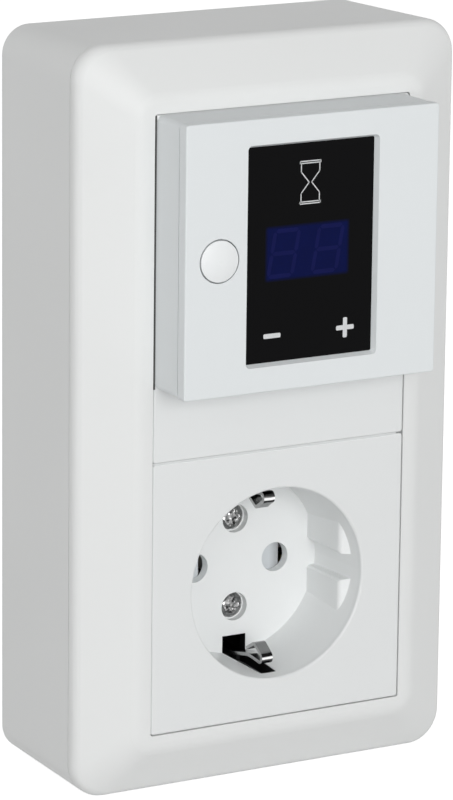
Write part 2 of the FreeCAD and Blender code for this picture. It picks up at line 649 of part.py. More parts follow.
def timer_base_shell():
    outer = rounded_block(TIMER_WIDTH, TIMER_HEIGHT, BASE_CORNER, LIP_Z + 0.02, BASE_TOP_Z, TIMER_Y)
    inside_width = TIMER_WIDTH - 2 * BASE_WALL
    inside_height = TIMER_HEIGHT - 2 * BASE_WALL
    cavity = rounded_block(inside_width, inside_height, 0.6, LIP_Z + BASE_FLOOR, BASE_TOP_Z + 1, TIMER_Y)
    shell = outer.cut(cavity)
    for x in (-22.0, 22.0):
        for y in (TIMER_Y - 22.0, TIMER_Y + 22.0):
            if (x, y - TIMER_Y) not in ((-22.0, -22.0), (22.0, 22.0)):
                shell = shell.fuse(rod(2.0, x, y, LIP_Z + BASE_FLOOR - 0.2, BOARD_Z))
    for x, y in case_screw_places():
        shell = shell.cut(rod(1.7, x, y, LIP_Z - 1, LIP_Z + 4))
    header_slot = box(-11, 11, TIMER_Y - 19, TIMER_Y - 14, LIP_Z - 1, LIP_Z + BASE_FLOOR + 1)
    return shell.cut(header_slot).removeSplitter()


def timer_front_cover():
    seam_z = BASE_TOP_Z + COVER_SEAM
    outer = rounded_block(TIMER_WIDTH, TIMER_HEIGHT, COVER_CORNER, seam_z, COVER_TOP_Z, TIMER_Y)
    outer = outer.makeFillet(0.35, edges_at_z(outer, COVER_TOP_Z))
    skirt_width = TIMER_WIDTH - 2 * BASE_WALL - 0.3
    skirt_height = TIMER_HEIGHT - 2 * BASE_WALL - 0.3
    skirt = rounded_block(skirt_width, skirt_height, 0.5, BASE_TOP_Z - 2.2, seam_z + 0.1, TIMER_Y)
    hollow = rounded_block(skirt_width - 2.4, skirt_height - 2.4, 0.4,
                           BASE_TOP_Z - 3, COVER_TOP_Z - COVER_FACE, TIMER_Y)
    window_z = COVER_TOP_Z - WINDOW_RECESS
    rear_z = window_z - WINDOW_SHEET
    rim = 2 * (WINDOW_OVERLAP + WINDOW_LEDGE)
    frame = rounded_block(WINDOW_WIDTH + rim, WINDOW_HEIGHT + rim, 1.0,
                          rear_z, COVER_TOP_Z - COVER_FACE + 0.1, TIMER_Y)
    shape = outer.fuse(skirt).cut(hollow).fuse(frame)
    pocket = rounded_block(WINDOW_WIDTH + 2 * WINDOW_OVERLAP, WINDOW_HEIGHT + 2 * WINDOW_OVERLAP,
                           WINDOW_CORNER + WINDOW_OVERLAP, rear_z - 3, window_z, TIMER_Y)
    bevel = tapered_block([
        (WINDOW_WIDTH, WINDOW_HEIGHT, WINDOW_CORNER, window_z - 0.001, TIMER_Y),
        (WINDOW_WIDTH + 2 * WINDOW_BEVEL, WINDOW_HEIGHT + 2 * WINDOW_BEVEL,
         WINDOW_CORNER + WINDOW_BEVEL, COVER_TOP_Z, TIMER_Y),
    ])
    button_hole = rod(BUTTON_RADIUS + BUTTON_GAP, BUTTON_X, TIMER_Y, rear_z - 3, COVER_TOP_Z + 1)
    flange_room = rod(BUTTON_FLANGE + 0.4, BUTTON_X, TIMER_Y, rear_z - 3, COVER_TOP_Z - COVER_FACE)
    return shape.cut(pocket).cut(bevel).cut(button_hole).cut(flange_room).removeSplitter()


def display_window():
    top_z = COVER_TOP_Z - WINDOW_RECESS
    grow = 2 * WINDOW_OVERLAP - 0.2
    return rounded_block(WINDOW_WIDTH + grow, WINDOW_HEIGHT + grow, WINDOW_CORNER + WINDOW_OVERLAP,
                         top_z - WINDOW_SHEET, top_z - 0.02, TIMER_Y)


def control_board():
    board = box(-BOARD_WIDTH / 2, BOARD_WIDTH / 2, TIMER_Y - BOARD_HEIGHT / 2, TIMER_Y + BOARD_HEIGHT / 2,
                BOARD_Z + 0.02, BOARD_Z + BOARD_THICKNESS)
    for x, y in case_screw_places():
        board = board.cut(rod(3.4, x, y, BOARD_Z - 1, BOARD_Z + 3))
    return board


def display_module():
    """Two digit light display: a filled case with a raised rim round its face."""
    z0 = BOARD_Z + BOARD_THICKNESS + 0.02
    case = box(-DISPLAY_WIDTH / 2, DISPLAY_WIDTH / 2, TIMER_Y - DISPLAY_HEIGHT / 2, TIMER_Y + DISPLAY_HEIGHT / 2,
               z0, DISPLAY_TOP_Z)
    face = box(-DISPLAY_WIDTH / 2 + DISPLAY_RIM, DISPLAY_WIDTH / 2 - DISPLAY_RIM,
               TIMER_Y - DISPLAY_HEIGHT / 2 + DISPLAY_RIM, TIMER_Y + DISPLAY_HEIGHT / 2 - DISPLAY_RIM,
               DISPLAY_TOP_Z - 0.2, DISPLAY_TOP_Z + 1)
    return case.cut(face)


def touch_pads():
    """Sprung pads that press the touch fields against the back of the window."""
    z0 = BOARD_Z + BOARD_THICKNESS + 0.02
    top_z = COVER_TOP_Z - WINDOW_RECESS - WINDOW_SHEET - 0.05
    pads = []
    for side in (-1, 1):
        foot = rod(1.0, side * TOUCH_X, TOUCH_Y, z0, top_z - 0.5)
        pads.append(foot.fuse(rod(TOUCH_RADIUS, side * TOUCH_X, TOUCH_Y, top_z - 0.6, top_z)).removeSplitter())
    return Part.makeCompound(pads)


def switch_levels():
    body_top = BOARD_Z + BOARD_THICKNESS + 1.8
    plunger_top = body_top + 0.9
    return body_top, plunger_top


def tact_switch():
    body_top = switch_levels()[0]
    half = SWITCH_SIZE / 2
    body = box(BUTTON_X - half, BUTTON_X + half, TIMER_Y - half, TIMER_Y + half,
               BOARD_Z + BOARD_THICKNESS + 0.02, body_top)
    return body.cut(rod(STEM_RADIUS + 0.25, BUTTON_X, TIMER_Y, body_top - 1.4, body_top + 1))


def switch_plunger():
    body_top, plunger_top = switch_levels()
    return rod(STEM_RADIUS + 0.1, BUTTON_X, TIMER_Y, body_top - 0.4, plunger_top)


def push_button():
    """Domed cap with a flange that stops behind the cover and a stem over the switch."""
    flange_z = COVER_TOP_Z - COVER_FACE - 1.3
    top_z = COVER_TOP_Z + 0.1
    dome_radius = (BUTTON_RADIUS ** 2 + BUTTON_DOME ** 2) / (2 * BUTTON_DOME)
    cap = rod(BUTTON_RADIUS, BUTTON_X, TIMER_Y, flange_z, top_z)
    dome = Part.makeSphere(dome_radius, Vector(BUTTON_X, TIMER_Y, top_z + BUTTON_DOME - dome_radius))
    crown = rod(BUTTON_RADIUS, BUTTON_X, TIMER_Y, top_z, top_z + BUTTON_DOME + 1).common(dome)
    flange = rod(BUTTON_FLANGE, BUTTON_X, TIMER_Y, flange_z, flange_z + 1.0)
    stem = rod(STEM_RADIUS, BUTTON_X, TIMER_Y, switch_levels()[1] + 0.02, flange_z + 0.5)
    return cap.fuse([crown, flange, stem]).removeSplitter()


def button_spring():
    z0 = switch_levels()[0] + 0.02
    flange_z = COVER_TOP_Z - COVER_FACE - 1.3
    spring = coil(BUTTON_SPRING_RADIUS, SPRING_WIRE, flange_z - z0 - 0.02, 3)
    spring.translate(Vector(BUTTON_X, TIMER_Y, z0))
    return spring


def board_header():
    """Pin header between the control board and the power board."""
    y = TIMER_Y - 16.5
    block = box(-9, 9, y - 1.25, y + 1.25, POWER_BOARD_Z + 1.7, BOARD_Z - 3.0)
    pins = [box(x - 0.3, x + 0.3, y - 0.3, y + 0.3, BOARD_Z - 3.2, BOARD_Z)
            for x in (-7.6, -5.1, -2.5, 0.0, 2.5, 5.1, 7.6)]
    return block.fuse(pins)


def timer_rear_case():
    outer = rounded_block(CASE_SIZE, CASE_SIZE, CASE_CORNER, CASE_BACK_Z, PLATE_BACK_Z - 0.02, TIMER_Y)
    inside = CASE_SIZE - 2 * CASE_WALL
    cavity = rounded_block(inside, inside, CASE_CORNER - CASE_WALL,
                           CASE_BACK_Z + CASE_WALL, PLATE_BACK_Z + 1, TIMER_Y)
    flange = rounded_block(CASE_SIZE + 2 * CASE_FLANGE, CASE_SIZE + 2 * CASE_FLANGE, CASE_CORNER + 1,
                           STRAP_TOP_Z + 0.02, STRAP_TOP_Z + 1.6, TIMER_Y)
    bumps_room = box(-21, 21, TIMER_Y - 40, TIMER_Y - 25.2, STRAP_TOP_Z - 1, STRAP_TOP_Z + 2)
    bumps_room = bumps_room.fuse(box(-21, 21, TIMER_Y + 25.2, TIMER_Y + 40, STRAP_TOP_Z - 1, STRAP_TOP_Z + 2))
    case = outer.fuse(flange.cut(bumps_room)).cut(cavity)
    for x, y in case_screw_places():
        post = rod(3.8, x, y, POWER_BOARD_Z + 1.7, PLATE_BACK_Z - 0.02)
        case = case.fuse(post.common(outer)).cut(rod(PILOT_RADIUS, x, y, PLATE_BACK_Z - 9, PLATE_BACK_Z + 1))
    for x in (-16.0, 16.0):
        for y in (TIMER_Y - 16.0, TIMER_Y + 20.0):
            case = case.fuse(rod(1.6, x, y, CASE_BACK_Z + 1, POWER_BOARD_Z))
    vents = [box(x - 0.8, x + 0.8, TIMER_Y + 8, TIMER_Y + 20, CASE_BACK_Z - 1, CASE_BACK_Z + 2)
             for x in range(-12, 13, 4)]
    for vent in vents:
        case = case.cut(vent)
    return case.removeSplitter()


def power_board():
    inside = CASE_SIZE - 2 * CASE_WALL - 0.6
    return rounded_block(inside, inside, 1.4, POWER_BOARD_Z + 0.02, POWER_BOARD_Z + 1.6, TIMER_Y)


def relay():
    case = box(-14, 5, TIMER_Y - 4.5, TIMER_Y + 10.5, POWER_BOARD_Z - 13.5, POWER_BOARD_Z)
    return case.makeFillet(0.8, [edge for edge in case.Edges if abs(edge.tangentAt(0).z) > 0.9])


def film_capacitor():
    case = box(8, 16, TIMER_Y - 6, TIMER_Y + 12, POWER_BOARD_Z - 13, POWER_BOARD_Z)
    return case.makeFillet(0.8, [edge for edge in case.Edges if abs(edge.tangentAt(0).z) > 0.9])


def electrolytic_capacitor():
    can = rod(3.15, 0, TIMER_Y + 15.6, POWER_BOARD_Z - 11.5, POWER_BOARD_Z)
    groove = rod(4.0, 0, TIMER_Y + 15.6, POWER_BOARD_Z - 2.4, POWER_BOARD_Z - 1.8)
    neck = rod(2.85, 0, TIMER_Y + 15.6, POWER_BOARD_Z - 3, POWER_BOARD_Z)
    return can.cut(groove.cut(neck))


def terminal_places():
    return [(x, TIMER_Y - 17.5) for x in (-12.0, -4.0, 4.0, 12.0)]


def timer_terminal_block():
    y = TIMER_Y - 17.5
    block = box(-17, 17, y - 5, y + 5, CASE_BACK_Z - 6.5, CASE_BACK_Z - 0.02)
    for x, screw_y in terminal_places():
        block = block.cut(rod(2.2, x, screw_y, CASE_BACK_Z - 7, CASE_BACK_Z - 3.6))
        wire_hole = Part.makeCylinder(1.5, 4, Vector(x, y - 6, CASE_BACK_Z - 3.2), Vector(0, 1, 0))
        block = block.cut(wire_hole)
    return block


def timer_terminal_screws():
    screws = []
    for x, y in terminal_places():
        screw = cross_recess_screw(x, y, 0, 1.9, 1.2, 1.0, -1.2)
        screw.rotate(Vector(x, y, 0), Vector(1, 0, 0), 180)
        screw.translate(Vector(0, 0, CASE_BACK_Z - 4.9))
        screws.append(screw)
    return Part.makeCompound(screws)


def case_screws():
    return Part.makeCompound([
        cross_recess_screw(x, y, LIP_Z + BASE_FLOOR + 0.02, 2.6, 1.4, 1.4, PLATE_BACK_Z - 7)
        for x, y in case_screw_places()
    ])


def save(name, shape):
    shape.rotate(Vector(0, 0, 0), Vector(1, 0, 0), 90)
    solids = shape.Solids
    valid = shape.isValid()
    shape.exportStep("parts/" + name + ".step")
    box_text = "%7.1f %7.1f %7.1f" % (shape.BoundBox.XLength, shape.BoundBox.YLength, shape.BoundBox.ZLength)
    print("%-26s solids %d valid %s volume %9.1f size %s" % (name, len(solids), valid, shape.Volume, box_text))


def main():
    os.makedirs("parts", exist_ok=True)
    save("back_box", back_box())
    save("housing_cover", housing_cover())
    save("cable_grommet", cable_grommet())
    save("socket_face_plate", socket_face_plate())
    save("socket_body", socket_body())
    save("socket_support_plate", socket_support_plate())
    save("shutter", shutter())
    save("shutter_spring", shutter_spring())
    save("line_contact", pin_contact(1))
    save("neutral_contact", pin_contact(-1))
    save("socket_terminal_clamps", terminal_clamps())
    save("socket_terminal_screws", terminal_screws())
    save("earth_bridge", earth_bridge())
    save("earth_clip_upper", earth_clip(1))
    save("earth_clip_lower", earth_clip(-1))
    save("socket_face_screws", socket_face_screws())
    save("strap_screws", strap_screws())
    save("timer_insert_plate", timer_insert_plate())
    save("timer_support_plate", timer_support_plate())
    save("timer_base_shell", timer_base_shell())
    save("timer_front_cover", timer_front_cover())
    save("display_window", display_window())
    save("display_module", display_module())
    save("control_board", control_board())
    save("touch_pads", touch_pads())
    save("tact_switch", tact_switch())
    save("switch_plunger", switch_plunger())
    save("push_button", push_button())
    save("button_spring", button_spring())
    save("board_header", board_header())
    save("timer_rear_case", timer_rear_case())
    save("power_board", power_board())
    save("relay", relay())
    save("film_capacitor", film_capacitor())
    save("electrolytic_capacitor", electrolytic_capacitor())
    save("timer_terminal_block", timer_terminal_block())
    save("timer_terminal_screws", timer_terminal_screws())
    save("case_screws", case_screws())


main()
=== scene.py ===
import json
import math

import bmesh
import bpy
from mathutils import Matrix, Vector


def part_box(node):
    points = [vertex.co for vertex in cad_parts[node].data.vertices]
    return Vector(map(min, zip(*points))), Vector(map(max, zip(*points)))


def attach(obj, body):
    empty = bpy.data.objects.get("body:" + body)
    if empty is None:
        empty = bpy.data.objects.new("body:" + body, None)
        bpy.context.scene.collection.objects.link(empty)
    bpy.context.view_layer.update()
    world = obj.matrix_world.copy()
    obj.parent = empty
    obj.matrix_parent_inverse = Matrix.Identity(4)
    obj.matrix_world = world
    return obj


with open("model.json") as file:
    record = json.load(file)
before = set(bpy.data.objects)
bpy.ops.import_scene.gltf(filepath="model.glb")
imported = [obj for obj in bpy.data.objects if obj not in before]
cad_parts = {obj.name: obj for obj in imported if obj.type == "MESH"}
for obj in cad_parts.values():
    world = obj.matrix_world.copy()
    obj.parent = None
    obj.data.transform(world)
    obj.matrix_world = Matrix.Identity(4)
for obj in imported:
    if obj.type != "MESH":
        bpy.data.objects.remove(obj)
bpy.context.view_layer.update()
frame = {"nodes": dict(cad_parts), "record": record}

MM = 0.001
MICRON = 0.000001

# Camera: aims at a point on the housing's lip plane, in millimetres
PHOTO_HEIGHT = 800
FOCAL_PIXELS = 4628.4
SENSOR = 36.0
NEAREST = 0.05
FARTHEST = 20.0
AIM = Vector((-12.48, -40.0, 4.43))
AIM_DISTANCE = 921.96
VIEW_TURN = math.radians(29.95)
VIEW_DROP = math.radians(13.77)
VIEW_ROLL = math.radians(0.66)


def add_camera():
    camera_data = bpy.data.cameras.new("camera")
    camera_data.sensor_width = SENSOR
    camera_data.lens = FOCAL_PIXELS / PHOTO_HEIGHT * SENSOR
    camera_data.clip_start = NEAREST
    camera_data.clip_end = FARTHEST
    camera = bpy.data.objects.new("camera", camera_data)
    bpy.context.collection.objects.link(camera)
    forward = Vector((math.sin(VIEW_TURN) * math.cos(VIEW_DROP),
                      math.cos(VIEW_TURN) * math.cos(VIEW_DROP),
                      -math.sin(VIEW_DROP)))
    location = (AIM - forward * AIM_DISTANCE) * MM
    level = forward.to_track_quat("-Z", "Y").to_matrix().to_4x4()
    camera.matrix_world = Matrix.Translation(location) @ level @ Matrix.Rotation(VIEW_ROLL, 4, "Z")
    bpy.context.scene.camera = camera


add_camera()
bpy.context.scene.view_settings.view_transform = "Standard"


# Node trees

class Tree:
    """A node tree with short ways to add and join nodes."""

    def __init__(self, tree):
        self.tree = tree

    def add(self, kind, inputs=None, **settings):
        node = self.tree.nodes.new(kind)
        for key, value in settings.items():
            setattr(node, key, value)
        for key, value in (inputs or {}).items():
            self.feed(node.inputs[key], value)
        return node

    def feed(self, socket, value):
        """Links another node's output to the socket, or sets a constant on it."""
        if isinstance(value, bpy.types.NodeSocket):
            self.tree.links.new(value, socket)
        else:
            socket.default_value = value

    def maths(self, operation, first, second=0.0):
        return self.add("ShaderNodeMath", {0: first, 1: second}, operation=operation).outputs[0]

    def above(self, value, limit):
        """1 where the value is above the limit, else 0."""
        return self.maths("GREATER_THAN", value, limit)

    def below(self, value, limit):
        """1 where the value is below the limit, else 0."""
        return self.maths("LESS_THAN", value, limit)

    def both(self, first, second):
        """The product of two shares: 1 only where both are 1."""
        return self.maths("MULTIPLY", first, second)

    def spread(self, value, low, high, start=0.2, end=0.8):
        """Brings a value from the range start to end to the range low to high.

        Without a range of its own, the value is noise, which lies mostly between 0.2 and 0.8.
        """
        return self.add("ShaderNodeMapRange", {"Value": value, "From Min": start, "From Max": end,
                                               "To Min": low, "To Max": high}).outputs[0]

    def parts(self, vector):
        """The X, Y and Z parts of a vector."""
        return self.add("ShaderNodeSeparateXYZ", {0: vector}).outputs

    def seen_directly(self):
        """1 for rays that should meet the plain white background, else 0."""
        path = self.add("ShaderNodeLightPath").outputs
        mirrored = self.maths("MAXIMUM", path["Is Glossy Ray"], path["Is Transmission Ray"])
        return self.maths("MAXIMUM", path["Is Camera Ray"], mirrored)


class Nodes(Tree):
    """A material's tree: textures in object coordinates, and the surface that they feed."""

    def __init__(self, name):
        self.material = bpy.data.materials.new(name)
        self.material.use_nodes = True
        super().__init__(self.material.node_tree)
        self.shader = self.tree.nodes["Principled BSDF"]
        coordinates = self.add("ShaderNodeTexCoord").outputs
        self.place = coordinates["Object"]
        self.normal = coordinates["Normal"]

    def noise(self, scale, detail=3.0, stretch=(1, 1, 1)):
        """Noise with the given number of features per metre."""
        mapping = self.add("ShaderNodeMapping", {"Vector": self.place, "Scale": stretch})
        return self.add("ShaderNodeTexNoise", {"Vector": mapping.outputs[0], "Scale": scale,
                                               "Detail": detail}).outputs["Fac"]

    def patchy(self, scale):
        """A share from 0 to 1 that wanders over the surface."""
        return self.spread(self.noise(scale), 0.0, 1.0)

    def ramp(self, value, low, high, stops):
        """Follows levels given as (position, level) pairs between low and high."""
        share = self.spread(value, 0.0, 1.0, low, high)
        node = self.add("ShaderNodeValToRGB", {"Fac": share})
        elements = node.color_ramp.elements
        while len(elements) < len(stops):
            elements.new(0.5)
        for element, (position, level) in zip(elements, stops):
            element.position = (position - low) / (high - low)
            element.color = (level, level, level, 1.0)
        return node.outputs["Color"]

    def blend(self, share, first, second):
        """The first colour where the share is 0, and the second where it is 1."""
        mix = self.add("ShaderNodeMix", data_type="RGBA")
        self.feed(mix.inputs[0], share)
        self.feed(mix.inputs[6], first)
        self.feed(mix.inputs[7], second)
        return mix.outputs[2]

    def surface(self, colour, roughness, gloss=0.5, metallic=0.0):
        self.feed(self.shader.inputs["Base Color"], colour)
        self.feed(self.shader.inputs["Roughness"], roughness)
        self.shader.inputs["Specular IOR Level"].default_value = gloss
        self.shader.inputs["Metallic"].default_value = metallic

    def bump(self, height, distance):
        node = self.add("ShaderNodeBump", {"Height": height, "Distance": distance, "Strength": 1.0})
        self.feed(self.shader.inputs["Normal"], node.outputs[0])


def rgba(colour, level=1.0):
    return tuple(channel * level for channel in colour) + (1.0,)


def tints(colour, levels):
    return [rgba(colour, level) for level in levels]


def grey(level):
    return (level, level, level)


# Where painted light and shade lie on the socket and the insert plate, in millimetres

SOCKET_Z = -35.2
RECESS_RADIUS_LIMIT = 20.6
RECESS_PALE_START_Y = -39.7
RECESS_PALE_FULL_Y = -38.5
RECESS_FLOOR_Y = -22.45
RECESS_FLOOR_RADIUS = 19.2
RECESS_FLARE = 0.04
WALL_SKIN = 0.15
CLIP_SLOT_HALF_WIDTH = 2.76
CLIP_SLOT_INNER = 15.3
CLIP_SLOT_OUTER = 22.2
CLIP_SLOT_FRONT_Y = -37.0
SHUTTER_SHADE_X0, SHUTTER_SHADE_X1 = 9.6, 11.6
PIN_ROW_HALF_HEIGHT = 5.5
PIN_ROW_BACK_Y = -12.0
INSERT_EDGE_X = -28.75

# Lower edge of the timer, in metres
TIMER_LOW_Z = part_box("timer_base_shell")[0][2]


def socket_height(nodes, place):
    """Distance up or down from the socket's axis."""
    return nodes.maths("ABSOLUTE", nodes.maths("SUBTRACT", place["Z"], SOCKET_Z * MM))


def socket_radius(nodes, place):
    """Distance from the socket's axis."""
    height = socket_height(nodes, place)
    width_squared = nodes.maths("MULTIPLY", place["X"], place["X"])
    height_squared = nodes.maths("MULTIPLY", height, height)
    return nodes.maths("SQRT", nodes.maths("ADD", width_squared, height_squared))


def inside_recess(nodes):
    """1 in the recess, which is painted paler: painted light for the many reflections between its walls.
    """
    place = nodes.parts(nodes.place)
    deep = nodes.spread(place["Y"], 0.0, 1.0, RECESS_PALE_START_Y * MM, RECESS_PALE_FULL_Y * MM)
    return nodes.both(deep, nodes.below(socket_radius(nodes, place), RECESS_RADIUS_LIMIT * MM))


def clip_slots(nodes):
    """1 on the walls of the slots that the earth clips stand in, else 0."""
    place = nodes.parts(nodes.place)
    height = socket_height(nodes, place)
    radius = socket_radius(nodes, place)
    behind_floor = nodes.above(place["Y"], RECESS_FLOOR_Y * MM)
    out_of_floor = nodes.maths("SUBTRACT", RECESS_FLOOR_Y * MM, place["Y"])
    flare = nodes.maths("MULTIPLY", out_of_floor, RECESS_FLARE)
    wall_radius = nodes.maths("ADD", flare, (RECESS_FLOOR_RADIUS + WALL_SKIN) * MM)
    behind_front = nodes.above(place["Y"], CLIP_SLOT_FRONT_Y * MM)
    in_wall = nodes.both(nodes.above(radius, wall_radius), behind_front)
    hidden = nodes.maths("MAXIMUM", behind_floor, in_wall)
    in_width = nodes.below(nodes.maths("ABSOLUTE", place["X"]), CLIP_SLOT_HALF_WIDTH * MM)
    beyond_inner = nodes.above(height, CLIP_SLOT_INNER * MM)
    in_length = nodes.both(beyond_inner, nodes.below(radius, CLIP_SLOT_OUTER * MM))
    return nodes.both(hidden, nodes.both(in_width, in_length))


def shutter_shade(nodes):
    """Rises to 1 at the shutter's edge, where the pin hole shades it; that shade is painted into the
    colour.
    """
    place = nodes.parts(nodes.place)
    return nodes.spread(place["X"], 0.0, 1.0, SHUTTER_SHADE_X0 * MM, SHUTTER_SHADE_X1 * MM)


def behind_shutter(nodes):
    """1 on the parts of the base that the pin holes show, where painted light turns the black base grey.
    """
    place = nodes.parts(nodes.place)
    in_row = nodes.below(socket_height(nodes, place), PIN_ROW_HALF_HEIGHT * MM)
    return nodes.both(nodes.below(place["Y"], PIN_ROW_BACK_Y * MM), in_row)


def shaded_edge(nodes):
    """1 on the left edge of the insert plate, in the gap beside the timer."""
    place = nodes.parts(nodes.place)
    return nodes.both(nodes.below(place["X"], INSERT_EDGE_X * MM), nodes.above(place["Z"], TIMER_LOW_Z))


# Materials: texture scales are in features per metre

CLOUD_SCALE = 25.0
CLOUD_TINTS = (0.99, 1.01)
DRIFT_SCALE = 40.0
SKIN_SCALE = 1500.0
METAL_LINE_SCALE = 2500.0
METAL_STAIN_SCALE = 400.0
METAL_STAIN_TINTS = (0.8, 1.0)
# Painted glints and dark painted reflections in the screw heads' colour
SCREW_PAINTED_GLINT_SCALE = 1800.0
SCREW_PAINTED_GLINT_TINTS = (0.35, 1.2)
SCREW_DENT_SCALE = 1000.0
SCREW_DENT_DEPTH = 300 * MICRON
PLATING_SCALE = 900.0
CLIP_WANDER_SCALE = 500.0
CLIP_POLISH_SCALE = 700.0
CLIP_SIDE_LEVEL = 0.55
CLIP_SIDE_FACING = 0.6
FINE_SCRATCH = 4 * MICRON

# Painted reflections: levels along the earth clips' folded front, by distance from the socket's axis in
# millimetres
CLIP_WANDER = 0.08
CLIP_PAINTED_REFLECTION_RANGE = (15.0, 19.0)
CLIP_PAINTED_REFLECTIONS = [(15.6, 0.38), (15.85, 0.30), (15.95, 0.01), (16.45, 0.01), (16.6, 0.85), (16.95, 0.9),
              (17.15, 0.22), (17.4, 0.06), (18.2, 0.06)]


def plastic(name, colour, rough=0.3, uneven=0.03, ripple=2 * MICRON, gloss=0.5, patches=()):
    """Moulded plastic: faint cloudiness, roughness that drifts, and a very fine skin.

    Each patch is a function that marks places, with the colour painted there; in this script the patches
    paint light and shade.
    """
    nodes = Nodes(name)
    cloud = nodes.spread(nodes.noise(CLOUD_SCALE, 1.0), 0.0, 1.0)
    skin = nodes.blend(cloud, *tints(colour, CLOUD_TINTS))
    for where, patch_colour in patches:
        skin = nodes.blend(where(nodes), skin, rgba(patch_colour))
    roughness = nodes.spread(nodes.noise(DRIFT_SCALE, 1.0), rough - uneven, rough + uneven)
    nodes.surface(skin, roughness, gloss)
    nodes.bump(nodes.noise(SKIN_SCALE, 2.0), ripple)
    return nodes.material


def metal(name, colour, rough=0.25, along=(1, 1, 1), scratch=20 * MICRON):
    """Drawn or stamped metal: fine lines along one axis and patches of slight staining."""
    nodes = Nodes(name)
    lines = nodes.noise(METAL_LINE_SCALE, 4.0, along)
    stains_and_painted_glints = nodes.blend(nodes.patchy(METAL_STAIN_SCALE), *tints(colour, METAL_STAIN_TINTS))
    nodes.surface(stains_and_painted_glints, nodes.spread(lines, rough - 0.08, rough + 0.12), metallic=1.0)
    nodes.bump(lines, scratch)
    return nodes.material


def dented_metal(name, colour, rough):
    """Plated screw metal whose small dents and burrs each catch the light; painted glints and dark
    painted reflections lie in patches in its colour.
    """
    nodes = Nodes(name)
    dents = nodes.add("ShaderNodeTexVoronoi", {"Vector": nodes.place, "Scale": SCREW_DENT_SCALE})
    stains_and_painted_glints = nodes.blend(nodes.patchy(SCREW_PAINTED_GLINT_SCALE), *tints(colour, SCREW_PAINTED_GLINT_TINTS))
    roughness = nodes.spread(nodes.noise(PLATING_SCALE), rough - 0.05, rough + 0.08)
    nodes.surface(stains_and_painted_glints, roughness, metallic=1.0)
    nodes.bump(dents.outputs["Distance"], SCREW_DENT_DEPTH)
    return nodes.material


def banded_metal(name, rough):
    """Nickelled strip: painted reflections lie across its fold as light and dark stripes, and its cut
    sides are plain grey.
    """
    nodes = Nodes(name)
    height = socket_height(nodes, nodes.parts(nodes.place))
    uneven = nodes.noise(CLIP_WANDER_SCALE, 2.0, (1, 1, 3))
    wander = nodes.spread(uneven, -CLIP_WANDER * MM, CLIP_WANDER * MM)
    low, high = CLIP_PAINTED_REFLECTION_RANGE
    painted_reflections = nodes.ramp(nodes.maths("ADD", height, wander), low * MM, high * MM,
                       [(position * MM, level) for position, level in CLIP_PAINTED_REFLECTIONS])
    plain = nodes.blend(nodes.patchy(PLATING_SCALE), *tints(grey(CLIP_SIDE_LEVEL), METAL_STAIN_TINTS))
    sideways = nodes.maths("ABSOLUTE", nodes.parts(nodes.normal)["X"])
    colour = nodes.blend(nodes.above(sideways, CLIP_SIDE_FACING), painted_reflections, plain)
    roughness = nodes.spread(nodes.noise(CLIP_POLISH_SCALE), rough, rough + 0.1)
    nodes.surface(colour, roughness, metallic=1.0)
    nodes.bump(nodes.noise(METAL_LINE_SCALE, 3.0, (8, 1, 1)), FINE_SCRATCH)
    return nodes.material


WHITE = (0.79, 0.80, 0.795)
SOCKET_WHITE = (0.775, 0.79, 0.79)
COOL_WHITE = (0.765, 0.795, 0.805)
BUTTON_WHITE = (0.84, 0.86, 0.865)
# Painted light: the socket's recess is painted in this paler white.
RECESS_PAINTED_LIGHT = (0.84, 0.855, 0.855)
PRINT_GREY = (0.70, 0.71, 0.72)
SHUTTER_GREY = (0.62, 0.65, 0.67)
# Painted shade: the shutter darkens to this grey towards its edge.
SHUTTER_EDGE_PAINTED_SHADE = (0.36, 0.37, 0.38)
# Painted light: the black base is painted this grey where the pin holes show it.
PIN_HOLE_PAINTED_LIGHT = (0.33, 0.34, 0.34)
SOCKET_BLACK = (0.012, 0.012, 0.013)
WINDOW_BLACK = (0.0022, 0.0022, 0.0026)
WINDOW_GLOSS = 0.05
DEEP_SHADOW = grey(0.01)
GAP_SHADOW = grey(0.06)

FINISHES = {
    "housing_white": plastic("housing_white", WHITE, 0.46, gloss=0.35),
    "socket_white": plastic("socket_white", SOCKET_WHITE, 0.40, gloss=0.4),
    "timer_white": plastic("timer_white", COOL_WHITE, 0.42, gloss=0.4),
    "inner_plastic": plastic("inner_plastic", (0.70, 0.71, 0.71), 0.45),
    # The black base carries painted light where the pin holes show it.
    "socket_base": plastic("socket_base", SOCKET_BLACK, 0.55, ripple=10 * MICRON,
                           patches=[(behind_shutter, PIN_HOLE_PAINTED_LIGHT)]),
    "grommet_rubber": plastic("grommet_rubber", (0.30, 0.31, 0.31), 0.7, ripple=80 * MICRON),
    "window_black": plastic("window_black", WINDOW_BLACK, 0.12, uneven=0.02, ripple=0.5 * MICRON,
                            gloss=WINDOW_GLOSS),
    "display_case": plastic("display_case", (0.02, 0.02, 0.025), 0.5),
    "board_green": plastic("board_green", (0.03, 0.17, 0.08), 0.35, ripple=50 * MICRON),
    "relay_case": plastic("relay_case", (0.04, 0.10, 0.32), 0.3),
    "capacitor_yellow": plastic("capacitor_yellow", (0.70, 0.50, 0.08), 0.3),
    "capacitor_sleeve": plastic("capacitor_sleeve", (0.02, 0.02, 0.035), 0.3),
    "zinc_steel": metal("zinc_steel", (0.62, 0.63, 0.64), 0.35, along=(1, 1, 8)),
    "spring_steel": metal("spring_steel", (0.58, 0.58, 0.60), 0.3),
    "contact_brass": metal("contact_brass", (0.75, 0.58, 0.28), 0.3, along=(1, 6, 1)),
    "contact_nickel": metal("contact_nickel", (0.33, 0.33, 0.335), 0.16, along=(8, 1, 1),
                            scratch=FINE_SCRATCH),
    "screw_nickel": dented_metal("screw_nickel", grey(0.45), 0.16),
}

# Earth clips with painted reflections across their folded fronts.
EARTH_CLIP_NICKEL = banded_metal("earth_clip_nickel", 0.16)

